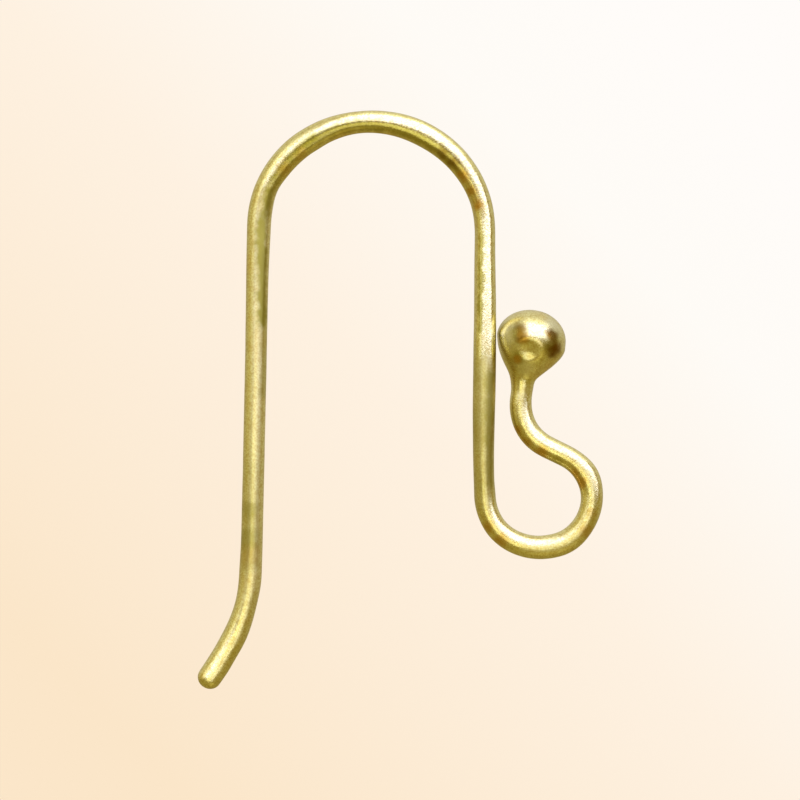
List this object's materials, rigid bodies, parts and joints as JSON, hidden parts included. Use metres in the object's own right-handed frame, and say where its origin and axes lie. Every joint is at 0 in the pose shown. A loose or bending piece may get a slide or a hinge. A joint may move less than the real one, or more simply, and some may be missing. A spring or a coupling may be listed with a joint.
{
  "type": "ear wire",
  "caption": "Shepherd's-hook ear wire in round wire, with a bent-out tail, a small hanging loop under the front leg and a melted ball end.",
  "frame": {"origin": "on the surface that the wire lies on, under the middle of the box round it", "axes": "+Y up as the wire is worn, from the tail's tip to the top of the arch; +X from the long leg to the ball; +Z up from the surface. The wire's own plane leans 4.8 degrees, because the ball is thicker than the wire."},
  "size_m": [0.015, 0.0216, 0.0026],
  "materials": {
    "gold_plate": "satin"
  },
  "bodies": {
    "root": {"ear_wire": "gold_plate"}
  },
  "joints": []
}
